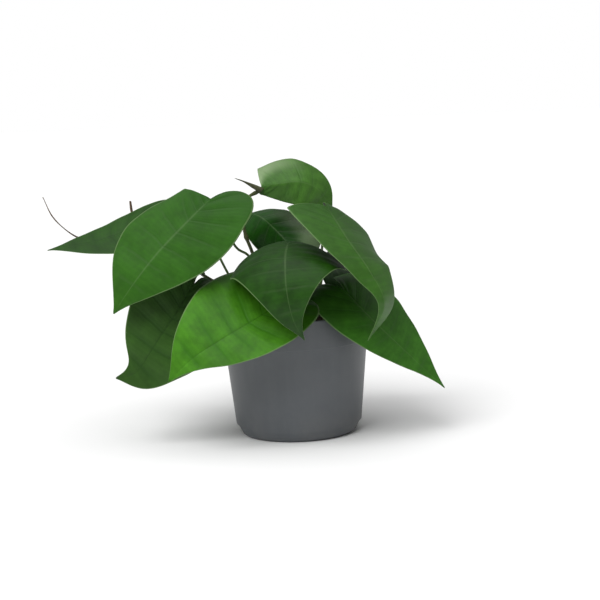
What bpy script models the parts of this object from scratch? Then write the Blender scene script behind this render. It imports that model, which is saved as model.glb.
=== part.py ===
"""Heartleaf philodendron in a round nursery pot.

Metres, +Z up. The origin is the centre of the flat plate under the pot. The plant's front is towards -Y.
Every leaf blade, leaf stalk and vine is its own piece, and so are the pot and the soil.
"""

import math
from collections import namedtuple

import bmesh
import bpy
import numpy as np

MM = 0.001
GAP = 0.3 * MM

# Pot: a tapered wall under a wider collar, on a skirt that is notched at both sides.
RIM_RADIUS = 60 * MM
POT_HEIGHT = 98 * MM
COLLAR_BOTTOM = 75 * MM
COLLAR_STEP = 1.2 * MM
COLLAR_DRAFT = 1 * MM
RIM_EDGE = (0.4 * MM, 0.6 * MM)
WALL = 1.5 * MM
SKIRT_HEIGHT = 8 * MM
SKIRT_TOP_RADIUS = 51 * MM
SKIRT_BOTTOM_RADIUS = 46.5 * MM
SKIRT_BULGE = (SKIRT_TOP_RADIUS - 1.7 * MM, 2.6 * MM)
INNER_CORNER = 1.2 * MM
BASE_PLATE_RADIUS = 34 * MM
GROOVE_RADIUS = BASE_PLATE_RADIUS + 2.5 * MM
NOTCH_CLEARANCE = 1 * MM
CUTTER_REACH = 3 * MM
NOTCH_TOP_ANGLE = math.radians(20)
NOTCH_BOTTOM_ANGLE = math.radians(31)
DRAIN_COUNT = 8
DRAIN_RADIUS = 3.5 * MM
DRAIN_CIRCLE_RADIUS = 42.5 * MM
DRAIN_SIDES = 16
POT_SEGMENTS = 48

# Soil, filled to a little below the rim.
SOIL_TOP = 88 * MM
SOIL_SLOPE = (6 * MM, 1.5 * MM)

# Leaf blades. The outline is half a heart: x along the midrib and y across it, as fractions of its length.
HALF_HEART = (
    (-0.03, 0.012), (-0.12, 0.05), (-0.195, 0.13), (-0.205, 0.23), (-0.13, 0.33), (0.01, 0.39), (0.19, 0.395),
    (0.38, 0.345), (0.57, 0.255), (0.74, 0.15), (0.87, 0.065), (0.95, 0.024), (1.0, 0.008),
)
HALF_WIDTH = 0.36
LOBE_DEPTH = 0.2
VEIN_SWEEP = 1.5
LEAST_CURL = 0.001
FRAME_REACH = 0.14
BLADE_THICKNESS = 0.9 * MM
BLADE_ROWS = 15
HALF_COLUMNS = 4

# Vines and stalks.
STEM_SIDES_SETTING = 2
STEM_POINTS = 14
VINE_RADIUS = 1.7 * MM
STALK_RADIUS = 1.2 * MM
STALK_TAPER = 0.8
JOINT_DEPTH = BLADE_THICKNESS / 2 + STALK_RADIUS + 6 * GAP
UPRIGHT_FOOT = 6 * MM
STEM_CLEARANCE = 0.8 * MM

# Sides are (left, right) as seen with the tip down and the upper face towards you. A pair of angles is the value
# at the base and at the tip. midrib and stalk points are millimetres.
# face: which way the upper face looks. width: times the heart's width. fold: each half, about the midrib.
# curl: further bend out to the margin. lobe: how far the lobes arch back behind the joint.
# root: where the stalk leaves the soil, or None if it leaves a vine. stalk: its other points.
Leaf = namedtuple("Leaf", "midrib face width fold curl lobe lobe_length root stalk colour")

MATURE = (0.055, 0.145, 0.030)
DARK = (0.035, 0.095, 0.026)
YOUNG = (0.130, 0.290, 0.045)

LEAVES = {
    "top": Leaf(
        midrib=((-22, -4, 199), (-9, -3, 200.5), (9, 0, 201), (24, 7, 193), (34, 12, 174)),
        face=((0.14, -0.55, 0.75), (0.3, -0.7, 0.6)),
        width=((0.25, 1.5), (0.86, 1.65)), fold=((-60, 0), (5, 0)), curl=((-20, -10), (-20, -10)),
        lobe=(120, 130), lobe_length=(0.2, 0.04), root=None, stalk=None, colour=YOUNG,
    ),
    "large_left": Leaf(
        midrib=((-62, -24, 193), (-82, -33, 175), (-104, -42, 154), (-123, -49, 132), (-140, -50, 109)),
        face=((-0.45, -0.74, 0.4), (-0.3, -0.85, 0.4)),
        width=((0.98, 2.0), (0.8, 1.2)), fold=((-16, -4), (-12, -12)), curl=((-15, -10), (-10, -10)),
        lobe=(110, 25), lobe_length=(0.02, 0.95),
        root=(-14, 0), stalk=((-25, -2, 128), (-35, -2, 144), (-45, -3, 152), (-56, -10, 176)), colour=MATURE,
    ),
    "rear_left": Leaf(
        midrib=((-108, 26, 177), (-133, 22, 166), (-159, 16, 159), (-197, 8, 154)),
        face=((-0.1, -0.45, 0.85), (-0.1, -0.5, 0.85)),
        width=((0.62, 0.75), (0.8, 0.8)), fold=((0, 0), (0, 0)), curl=((-10, -10), (-10, -10)),
        lobe=(30, 30), lobe_length=(1, 1), root=None, stalk=None, colour=DARK,
    ),
    "low_left": Leaf(
        midrib=((-79, -28, 126), (-91, -36, 108), (-108, -42, 85), (-126, -44, 61), (-142, -44, 57)),
        face=((0.0, -1.0, 0.1), (-0.1, -0.95, 0.2)),
        width=((0.9, 1.2), (0.75, 2.0)), fold=((5, 0), (5, 0)), curl=((-10, -10), (-10, -10)),
        lobe=(60, 90), lobe_length=(1, 1), root=None, stalk=((-74, -9, 133), (-77, -18, 131)), colour=DARK,
    ),
    "front_left": Leaf(
        midrib=((-5, -52, 116), (-28, -60, 103), (-54, -70, 90), (-79, -76, 76), (-98, -78, 59)),
        face=((-0.32, -0.76, 0.56), (-0.2, -0.9, 0.3)),
        width=((0.95, 1.8), (0.9, 0.8)), fold=((0, 5), (12, 5)), curl=((-5, -5), (5, -5)),
        lobe=(110, 50), lobe_length=(0.8, 0.6), root=(-2, -22), stalk=((2, -34, 106), (0, -46, 114)), colour=YOUNG,
    ),
    "front_centre": Leaf(
        midrib=((-3, -43, 158), (-5, -76, 150), (-5, -96, 130), (-1, -100, 107), (7, -96, 90)),
        face=((0.0, -0.1, 1.0), (-0.2, -0.95, 0.2)),
        width=((1.3, 0.85), (1.25, 0.7)), fold=((-3, -5), (-6, -5)), curl=((-38, -10), (-32, -10)),
        lobe=(40, 40), lobe_length=(1, 1),
        root=(2, -8), stalk=((2, -14, 120), (-1, -26, 146), (-3, -37, 155)), colour=MATURE,
    ),
    "upper_centre": Leaf(
        midrib=((-2, 0, 151), (-11, 8, 161), (-23, 16, 172), (-34, 34, 174), (-46, 52, 168)),
        face=((-0.1, -0.4, 0.8), (-0.3, 0.1, 0.9)),
        width=((1.0, 0.9), (0.7, 0.9)), fold=((0, -5), (-50, -10)), curl=((-10, -10), (-30, -10)),
        lobe=(60, 60), lobe_length=(1, 1), root=(4, 6), stalk=((6, 9, 120), (3, 8, 142)), colour=MATURE,
    ),
    "large_right": Leaf(
        midrib=((29, -30, 183), (44, -58, 159), (58.5, -74, 137), (68.5, -79, 112), (55, -82, 85)),
        face=((0.6, -0.65, 0.4), (0.75, -0.5, -0.1)),
        width=((0.72, 0.28), (1.15, 0.95)), fold=((-8, -8), (-10, -8)), curl=((-10, -10), (-15, -10)),
        lobe=(60, 60), lobe_length=(0.2, 1),
        root=(16, -4), stalk=((22, 0, 130), (26, -8, 164), (28, -22, 180)), colour=MATURE,
    ),
    "low_right": Leaf(
        midrib=((40, -36, 118), (57, -46, 99), (75, -48, 80), (95, -44, 59), (116, -38, 37)),
        face=((0.5, -0.6, 0.55), (0.4, -0.64, 0.5)),
        width=((0.78, 0.4), (0.95, 1.15)), fold=((-5, 0), (-5, 0)), curl=((-10, -10), (-10, -10)),
        lobe=(60, 60), lobe_length=(1, 1), root=(24, -14), stalk=((32, -22, 108), (38, -32, 116)), colour=MATURE,
    ),
    "back_right": Leaf(
        midrib=((24, 22, 130), (36, 44, 142), (47, 64, 132), (53, 78, 107), (54, 86, 80)),
        face=((0.0, 0.1, 1.0), (0.3, 0.9, 0.3)),
        width=((0.75, 0.9), (0.55, 1.0)), fold=((-12, -5), (-20, -10)), curl=((-30, -10), (-50, -20)),
        lobe=(60, 60), lobe_length=(0.9, 0.9), root=(16, 16), stalk=((20, 17, 106), (23, 19, 118)), colour=DARK,
    ),
    "back_centre": Leaf(
        midrib=((-12, 30, 120), (-17, 54, 130), (-21, 78, 114), (-23, 92, 85), (-23, 99, 60)),
        face=((0.0, 0.1, 1.0), (-0.1, 0.9, 0.3)),
        width=((0.62, 0.9), (0.62, 0.9)), fold=((-10, -5), (-10, -5)), curl=((-20, -10), (-20, -10)),
        lobe=(20, 20), lobe_length=(0.9, 0.9), root=(-8, 18), stalk=((-10, 22, 106),), colour=MATURE,
    ),
    "back_left": Leaf(
        midrib=((-70, 44, 162), (-82, 58, 172), (-98, 76, 167), (-110, 90, 150), (-118, 98, 128)),
        face=((0.0, 0.1, 1.0), (-0.5, 0.7, 0.4)),
        width=((0.65, 0.9), (0.65, 0.9)), fold=((-10, -5), (-10, -5)), curl=((-20, -10), (-20, -10)),
        lobe=(50, 50), lobe_length=(0.9, 0.9), root=(-28, 14), stalk=((-48, 20, 118), (-64, 34, 148)), colour=DARK,
    ),
}

# Vines leave the soil at root and end at the joint of the leaf that they carry. Millimetres.
Vine = namedtuple("Vine", "root points")
VINES = {
    "top": Vine((-12, 8), ((-24, 8, 116), (-32, 2, 146), (-37, 0, 162), (-38, 0, 178), (-34, -1, 190))),
    "rear_left": Vine((-20, 8), ((-36, 4, 108), (-66, -4, 126), (-78, -2, 136), (-92, 10, 152), (-104, 22, 168))),
}
AERIAL_ROOT = (
    (-107, 21, 165), (-125, 28, 159), (-150, 30, 156), (-168, 28, 159),
    (-180, 25, 165), (-193, 22, 179), (-200, 20, 196),
)
AERIAL_ROOT_RADIUS = 0.7 * MM
OLD_VINE_END = ((-110, 31, 165), (-121, 44, 166), (-131, 53, 175), (-133, 54, 187))
OLD_VINE_RADIUS = 1.2 * MM
SHEATH = ((-29, -5, 200), (-36, -7, 204), (-43, -8, 207))
SHEATH_RADIUS = 1.8 * MM


def clear_scene():
    for obj in list(bpy.data.objects):
        bpy.data.objects.remove(obj, do_unlink=True)


def make_material(name, colour, roughness):
    material = bpy.data.materials.new(name)
    material.use_nodes = True
    shader = material.node_tree.nodes["Principled BSDF"]
    shader.inputs["Base Color"].default_value = (*colour, 1)
    shader.inputs["Roughness"].default_value = roughness
    shader.inputs["Metallic"].default_value = 0
    return material


def add_object(name, data, material):
    obj = bpy.data.objects.new(name, data)
    data.materials.append(material)
    bpy.context.scene.collection.objects.link(obj)
    return obj


def add_mesh(name, points, faces, material, sharp_angle=40):
    mesh = bpy.data.meshes.new(name)
    mesh.from_pydata([tuple(point) for point in points], [], faces)
    build = bmesh.new()
    build.from_mesh(mesh)
    bmesh.ops.recalc_face_normals(build, faces=build.faces)
    build.to_mesh(mesh)
    build.free()
    mesh.shade_smooth()
    mesh.set_sharp_from_angle(angle=math.radians(sharp_angle))
    return add_object(name, mesh, material)


def turned(name, profile, material, segments=POT_SEGMENTS):
    """A solid turned about Z from a profile of (radius, height) that starts and ends on the axis."""
    points = [(0, 0, profile[0][1])]
    for radius, height in profile[1:-1]:
        for k in range(segments):
            angle = math.tau * k / segments
            points.append((radius * math.cos(angle), radius * math.sin(angle), height))
    points.append((0, 0, profile[-1][1]))
    last = len(points) - 1
    rings = len(profile) - 2
    faces = []
    for k in range(segments):
        after = (k + 1) % segments
        faces.append((0, 1 + k, 1 + after))
        for ring in range(rings - 1):
            low = 1 + ring * segments
            high = low + segments
            faces.append((low + k, high + k, high + after, low + after))
        top = 1 + (rings - 1) * segments
        faces.append((top + k, last, top + after))
    return add_mesh(name, points, faces, material)


def cut(target, cutter):
    cutter.hide_render = True
    cutter.display_type = "WIRE"
    boolean = target.modifiers.new("Cut " + cutter.name, "BOOLEAN")
    boolean.operation = "DIFFERENCE"
    boolean.solver = "EXACT"
    boolean.object = cutter


def wall_profile():
    """The pot's outer surface from the skirt to the rim, as (radius, height)."""
    return (
        (SKIRT_BOTTOM_RADIUS, 0),
        SKIRT_BULGE,
        (SKIRT_TOP_RADIUS, SKIRT_HEIGHT),
        (RIM_RADIUS - COLLAR_DRAFT - COLLAR_STEP, COLLAR_BOTTOM),
        (RIM_RADIUS - COLLAR_DRAFT, COLLAR_BOTTOM),
        (RIM_RADIUS, POT_HEIGHT - RIM_EDGE[1]),
        (RIM_RADIUS - RIM_EDGE[0], POT_HEIGHT),
    )


def inside_profile(clearance):
    """The pot's inner surface from below the rim to the base plate, moved inwards by a clearance."""
    floor = SKIRT_HEIGHT + WALL + clearance
    collar = RIM_RADIUS - COLLAR_DRAFT - WALL - clearance
    skirt = SKIRT_TOP_RADIUS - WALL - clearance
    return (
        (collar, COLLAR_BOTTOM + 2 * MM),
        (collar - COLLAR_STEP, COLLAR_BOTTOM - 2 * MM),
        (skirt, floor + INNER_CORNER),
        (skirt - INNER_CORNER, floor),
        (GROOVE_RADIUS - WALL - clearance, floor),
        (BASE_PLATE_RADIUS - WALL - clearance, WALL + clearance),
        (0, WALL + clearance),
    )


def underside_profile():
    """The flat base plate and the groove between it and the skirt."""
    return (
        (0, 0),
        (BASE_PLATE_RADIUS, 0),
        (GROOVE_RADIUS, SKIRT_HEIGHT),
        (SKIRT_TOP_RADIUS - 2 * WALL, SKIRT_HEIGHT),
        (SKIRT_BOTTOM_RADIUS - WALL, 0),
    )


def make_pot(material):
    rim = ((RIM_RADIUS - WALL, POT_HEIGHT),)
    pot = turned("pot", underside_profile() + wall_profile() + rim + inside_profile(0), material)
    for side in (1, -1):
        cut(pot, make_notch_cutter(side))
    for k in range(DRAIN_COUNT):
        cut(pot, make_drain_cutter(k))
    return pot


def prism(name, outline):
    """A cutter between two matching outlines, the first all round and then the second."""
    sides = len(outline) // 2
    faces = [tuple(range(sides)), tuple(range(sides, 2 * sides))]
    faces += [(k, (k + 1) % sides, (k + 1) % sides + sides, k + sides) for k in range(sides)]
    return add_mesh(name, outline, faces, make_material("cutter", (1, 0, 0), 1))


def make_notch_cutter(side):
    """A wedge across the skirt at one side, wider at the foot than at the top."""
    top = SKIRT_HEIGHT + GAP
    bottom = -CUTTER_REACH
    near = side * (GROOVE_RADIUS + NOTCH_CLEARANCE)
    far = side * (RIM_RADIUS + CUTTER_REACH)
    top_half = SKIRT_TOP_RADIUS * math.sin(NOTCH_TOP_ANGLE)
    bottom_half = SKIRT_BOTTOM_RADIUS * math.sin(NOTCH_BOTTOM_ANGLE)
    outline = ((-bottom_half, bottom), (bottom_half, bottom), (top_half, top), (-top_half, top))
    hand = "right" if side > 0 else "left"
    return prism(f"notch_cutter_{hand}", [(x, y, z) for x in (near, far) for y, z in outline])


def make_drain_cutter(index):
    """A round bar through the floor of the pot, between the groove and the wall."""
    angle = math.tau * (index + 0.5) / DRAIN_COUNT
    centre_x = DRAIN_CIRCLE_RADIUS * math.cos(angle)
    centre_y = DRAIN_CIRCLE_RADIUS * math.sin(angle)
    points = []
    for height in (SKIRT_HEIGHT - CUTTER_REACH, SKIRT_HEIGHT + WALL + CUTTER_REACH):
        for k in range(DRAIN_SIDES):
            turn = math.tau * k / DRAIN_SIDES
            x = centre_x + DRAIN_RADIUS * math.cos(turn)
            y = centre_y + DRAIN_RADIUS * math.sin(turn)
            points.append((x, y, height))
    return prism(f"drain_cutter_{index + 1}", points)


def make_soil(material):
    inner = inside_profile(GAP)
    edge = inner[0][0] + GAP
    surface = ((0, SOIL_TOP), (edge - SOIL_SLOPE[0], SOIL_TOP), (edge, SOIL_TOP - SOIL_SLOPE[1]))
    return turned("soil", surface + inner, material)


def through(points, fractions):
    """A smooth curve through the points, read at fractions of its chord length (Catmull-Rom)."""
    points = np.asarray(points, float)
    steps = np.linalg.norm(np.diff(points, axis=0), axis=1)
    chord = np.concatenate([[0], np.cumsum(steps)])
    padded = np.vstack([2 * points[0] - points[1], points, 2 * points[-1] - points[-2]])
    place = np.asarray(fractions) * chord[-1]
    span = np.clip(np.searchsorted(chord, place, side="right") - 1, 0, len(points) - 2)
    part = ((place - chord[span]) / steps[span])[:, None]
    before, start, end, after = (padded[span + k] for k in range(4))
    square = (2 * before - 5 * start + 4 * end - after) * part**2
    cube = (3 * start - before - 3 * end + after) * part**3
    return 0.5 * (2 * start + (end - before) * part + square + cube)


def unit(vectors):
    return vectors / np.linalg.norm(vectors, axis=-1, keepdims=True)


def read_curve(curve, arc, place):
    return np.stack([np.interp(place, arc, curve[:, axis]) for axis in range(3)], axis=-1)


def midrib_curve(leaf):
    """(points, arc length at each, direction at each) of the leaf's midrib."""
    curve = through(np.array(leaf.midrib) * MM, np.linspace(0, 1, 200))
    arc = np.concatenate([[0], np.cumsum(np.linalg.norm(np.diff(curve, axis=0), axis=1))])
    reach = FRAME_REACH * arc[-1]
    ahead = read_curve(curve, arc, np.minimum(arc + reach, arc[-1]))
    behind = read_curve(curve, arc, np.maximum(arc - reach, 0))
    return curve, arc, unit(ahead - behind)


def half_outline(leaf, side, vein, out):
    """(x, y) of half a flat blade, as fractions of its length: vein runs from base to tip, out from midrib to margin."""
    margin = through(HALF_HEART, vein)
    margin_x = np.where(margin[:, :1] < 0, margin[:, :1] * leaf.lobe_length[side], margin[:, :1])
    x = (vein**VEIN_SWEEP)[:, None] * (1 - out) + margin_x * out
    base_width, tip_width = leaf.width[side]
    return x, margin[:, 1:] * out * (base_width + (tip_width - base_width) * np.clip(x, 0, 1))


def half_blade(leaf, side, vein, out):
    """(points, normals) of one half of the blade's middle surface."""
    curve, arc, direction = midrib_curve(leaf)
    length = arc[-1]
    x, y = half_outline(leaf, side, vein, out)
    along = np.clip(x, 0, 1)
    centre = read_curve(curve, arc, along * length)
    forward = unit(read_curve(direction, arc, along * length))
    face_base, face_tip = np.array(leaf.face)
    face = face_base + (face_tip - face_base) * along[..., None]
    up = unit(face - (face * forward).sum(-1, keepdims=True) * forward)
    across = np.cross(forward, up) * (1 if side == 0 else -1)

    # Behind the joint the lobes arch back and down along a circle.
    lobe_radius = LOBE_DEPTH * length / math.radians(leaf.lobe[side])
    back = (-np.minimum(x, 0) * length / lobe_radius)[..., None]
    centre = centre - (forward * np.sin(back) + up * (1 - np.cos(back))) * lobe_radius
    normal = up * np.cos(back) - forward * np.sin(back)

    # Across the half, the slope starts at the fold and grows by the curl.
    fold_base, fold_tip = np.radians(leaf.fold[side])
    curl_base, curl_tip = np.radians(leaf.curl[side])
    fold = fold_base + (fold_tip - fold_base) * along
    curl = curl_base + (curl_tip - curl_base) * along
    rate = np.where(abs(curl) < LEAST_CURL, LEAST_CURL, curl) / (HALF_WIDTH * length)
    slope = fold + rate * y * length
    sideways = (np.sin(slope) - np.sin(fold)) / rate
    lift = (np.cos(fold) - np.cos(slope)) / rate
    points = centre + across * sideways[..., None] + up * lift[..., None]
    return points, normal * np.cos(slope)[..., None] - across * np.sin(slope)[..., None]


def blade_grid(leaf, vein, out):
    """(points, normals) of the whole middle surface, from the left margin over the midrib to the right margin."""
    left, left_normals = half_blade(leaf, 0, vein, out)
    right, right_normals = half_blade(leaf, 1, vein, out)
    left_normals[:, 0] = unit(left_normals[:, 0] + right_normals[:, 0])
    points = np.concatenate([left[:, ::-1], right[:, 1:]], axis=1)
    return points, np.concatenate([left_normals[:, ::-1], right_normals[:, 1:]], axis=1)


def make_blade(name, leaf):
    """A closed slab on both sides of the middle surface."""
    grid, normals = blade_grid(leaf, np.linspace(0, 1, BLADE_ROWS), np.linspace(0, 1, HALF_COLUMNS))
    rows, columns = grid.shape[:2]
    offset = normals * BLADE_THICKNESS / 2
    points = np.concatenate([(grid + offset).reshape(-1, 3), (grid - offset).reshape(-1, 3)])
    back = rows * columns
    faces = []
    for row in range(rows - 1):
        for column in range(columns - 1):
            corner = row * columns + column
            quad = (corner, corner + 1, corner + columns + 1, corner + columns)
            faces.append(quad)
            faces.append(tuple(back + k for k in reversed(quad)))
    edge = list(range(columns))
    edge += [row * columns + columns - 1 for row in range(1, rows)]
    edge += [(rows - 1) * columns + column for column in range(columns - 2, -1, -1)]
    edge += [row * columns for row in range(rows - 2, 0, -1)]
    for here, following in zip(edge, edge[1:] + edge[:1]):
        faces.append((here, here + back, following + back, following))
    return add_mesh(name, points, faces, make_material(name, leaf.colour, 0.45))


def joint_under(leaf):
    """Where a stalk ends, just under the blade at its joint."""
    curve, _, direction = midrib_curve(leaf)
    face = np.array(leaf.face[0])
    up = unit(face - face.dot(direction[0]) * direction[0])
    return curve[0] - up * JOINT_DEPTH


def make_stem(name, route, radius, end_scale, material):
    """A round stem along a smooth route in metres, tapering to end_scale of its radius."""
    centres = through(route, np.linspace(0, 1, STEM_POINTS))
    curve = bpy.data.curves.new(name, "CURVE")
    curve.dimensions = "3D"
    curve.bevel_depth = radius
    curve.bevel_resolution = STEM_SIDES_SETTING
    curve.use_fill_caps = True
    spline = curve.splines.new("POLY")
    spline.points.add(STEM_POINTS - 1)
    spline.use_smooth = True
    for k, centre in enumerate(centres):
        spline.points[k].co = (*centre, 1)
        spline.points[k].radius = 1 + (end_scale - 1) * k / (STEM_POINTS - 1)
    return add_object(name, curve, material)


def foot(root):
    """A stem stands upright where it leaves the soil."""
    x, y = np.array(root) * MM
    return [(x, y, SOIL_TOP + STEM_CLEARANCE), (x, y, SOIL_TOP + UPRIGHT_FOOT)]


def stalk_route(leaf):
    start = foot(leaf.root) if leaf.root else []
    return np.array([*start, *(np.array(leaf.stalk) * MM), joint_under(leaf)])


def vine_route(name):
    vine = VINES[name]
    return np.array([*foot(vine.root), *(np.array(vine.points) * MM), joint_under(LEAVES[name])])


def make_leaves(stalk_material):
    for name, leaf in LEAVES.items():
        make_blade(f"leaf_{name}", leaf)
        if leaf.stalk:
            make_stem(f"stalk_{name}", stalk_route(leaf), STALK_RADIUS, STALK_TAPER, stalk_material)


def make_vines(vine_material, root_material, sheath_material):
    vine_taper = STALK_RADIUS * STALK_TAPER / VINE_RADIUS
    for name in VINES:
        make_stem(f"vine_{name}", vine_route(name), VINE_RADIUS, vine_taper, vine_material)
    make_stem("aerial_root", np.array(AERIAL_ROOT) * MM, AERIAL_ROOT_RADIUS, 0.6, root_material)
    make_stem("old_vine_end", np.array(OLD_VINE_END) * MM, OLD_VINE_RADIUS, 0.8, root_material)
    make_stem("leaf_sheath", np.array(SHEATH) * MM, SHEATH_RADIUS, 0.2, sheath_material)


def main():
    clear_scene()
    make_pot(make_material("pot_plastic", (0.10, 0.108, 0.115), 0.5))
    make_soil(make_material("peat", (0.022, 0.014, 0.010), 0.95))
    make_leaves(make_material("stalk_green", (0.07, 0.12, 0.03), 0.5))
    make_vines(
        make_material("vine_green", (0.08, 0.10, 0.035), 0.55),
        make_material("dry_brown", (0.12, 0.075, 0.045), 0.8),
        make_material("sheath_olive", (0.06, 0.07, 0.03), 0.6),
    )


main()
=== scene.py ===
"""Looks of the heartleaf philodendron in its nursery pot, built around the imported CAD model.

Metres, +Z up, in the CAD model's own frame. Every piece here stands for the CAD node that it is built over.
"""

import math
import random
from collections import namedtuple

import bmesh
import bpy
import numpy as np
from mathutils import Matrix, Vector, noise


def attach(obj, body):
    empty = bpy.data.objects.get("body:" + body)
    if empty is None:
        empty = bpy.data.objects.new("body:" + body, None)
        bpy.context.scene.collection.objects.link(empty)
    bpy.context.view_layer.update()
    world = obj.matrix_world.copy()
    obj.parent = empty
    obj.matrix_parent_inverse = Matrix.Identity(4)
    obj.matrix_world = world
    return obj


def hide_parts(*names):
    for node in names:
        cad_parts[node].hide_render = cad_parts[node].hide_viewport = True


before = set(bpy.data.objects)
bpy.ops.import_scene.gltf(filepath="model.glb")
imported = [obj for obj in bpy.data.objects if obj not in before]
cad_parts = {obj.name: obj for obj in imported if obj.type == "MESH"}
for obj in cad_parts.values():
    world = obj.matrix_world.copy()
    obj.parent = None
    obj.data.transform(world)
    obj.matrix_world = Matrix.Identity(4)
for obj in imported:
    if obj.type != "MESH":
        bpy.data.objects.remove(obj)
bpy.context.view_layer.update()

MM = 0.001
GAP = 0.3 * MM

# Pot: a tapered wall under a wider collar, on a skirt that is notched at both sides.
RIM_RADIUS = 60 * MM
POT_HEIGHT = 98 * MM
COLLAR_BOTTOM = 75 * MM
COLLAR_STEP = 1.2 * MM
COLLAR_DRAFT = 1 * MM
RIM_EDGE = (0.4 * MM, 0.6 * MM)
WALL = 1.5 * MM
SKIRT_HEIGHT = 8 * MM
SKIRT_TOP_RADIUS = 51 * MM
SKIRT_BOTTOM_RADIUS = 46.5 * MM
SKIRT_BULGE = (SKIRT_TOP_RADIUS - 1.7 * MM, 2.6 * MM)
INNER_CORNER = 1.2 * MM
BASE_PLATE_RADIUS = 34 * MM
GROOVE_RADIUS = BASE_PLATE_RADIUS + 2.5 * MM
COLLAR_BEND = 2 * MM
EDGE_ROUNDING = 0.5 * MM
SHARP_ANGLE = math.radians(35)
NOTCH_CLEARANCE = 1 * MM
NOTCH_BOTTOM = -2 * MM
NOTCH_ROUNDING = 2.5 * MM
CUTTER_REACH = 3 * MM
NOTCH_TOP_ANGLE = math.radians(20)
NOTCH_BOTTOM_ANGLE = math.radians(31)
DRAIN_COUNT = 8
DRAIN_RADIUS = 3.5 * MM
DRAIN_CIRCLE_RADIUS = 42.5 * MM
DRAIN_SIDES = 32
POT_TURNS = 160

# Soil, filled to a little below the rim.
SOIL_TOP = 88 * MM
SOIL_SINK = 1.2 * MM
SOIL_HUMPS = 1.1 * MM
SOIL_CRUMBLE = 0.5 * MM
SOIL_EDGE = 0.4 * MM
SOIL_RINGS = 60
SOIL_TURNS = 160
CRUMB_COUNT = 420
CRUMB_SIZE = 2.2 * MM
CRUMB_MARGIN = 2 * MM
CRUMB_SEED = 11

# Leaf blades. The outline is half a heart: x along the midrib and y across it, as fractions of its length.
HALF_HEART = (
    (-0.03, 0.012), (-0.12, 0.05), (-0.195, 0.13), (-0.205, 0.23), (-0.13, 0.33), (0.01, 0.39), (0.19, 0.395),
    (0.38, 0.345), (0.57, 0.255), (0.74, 0.15), (0.87, 0.065), (0.95, 0.022), (1.0, 0.003),
)
HALF_WIDTH = 0.36
LOBE_DEPTH = 0.2
VEIN_SWEEP = 1.5
LEAST_CURL = 0.001
FRAME_REACH = 0.14
MIDRIB_POINTS = 200

# Vines and stalks.
VINE_RADIUS = 1.7 * MM
STALK_RADIUS = 1.2 * MM
UPRIGHT_FOOT = 6 * MM

# Sides are (left, right) as seen with the tip down and the upper face towards you. A pair of angles is the
# value at the base and at the tip. midrib and stalk points are millimetres.
# face: which way the upper face looks. width: times the heart's width. fold: each half, about the midrib.
# curl: further bend out to the margin. lobe: how far the lobes arch back behind the joint.
# root: where the stalk leaves the soil, or None if it leaves a vine. stalk: its other points.
Leaf = namedtuple("Leaf", "midrib face width fold curl lobe lobe_length root stalk slot")

MATURE = "leaf_mature"
DARK = "leaf_dark"
YOUNG = "leaf_young"

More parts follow.
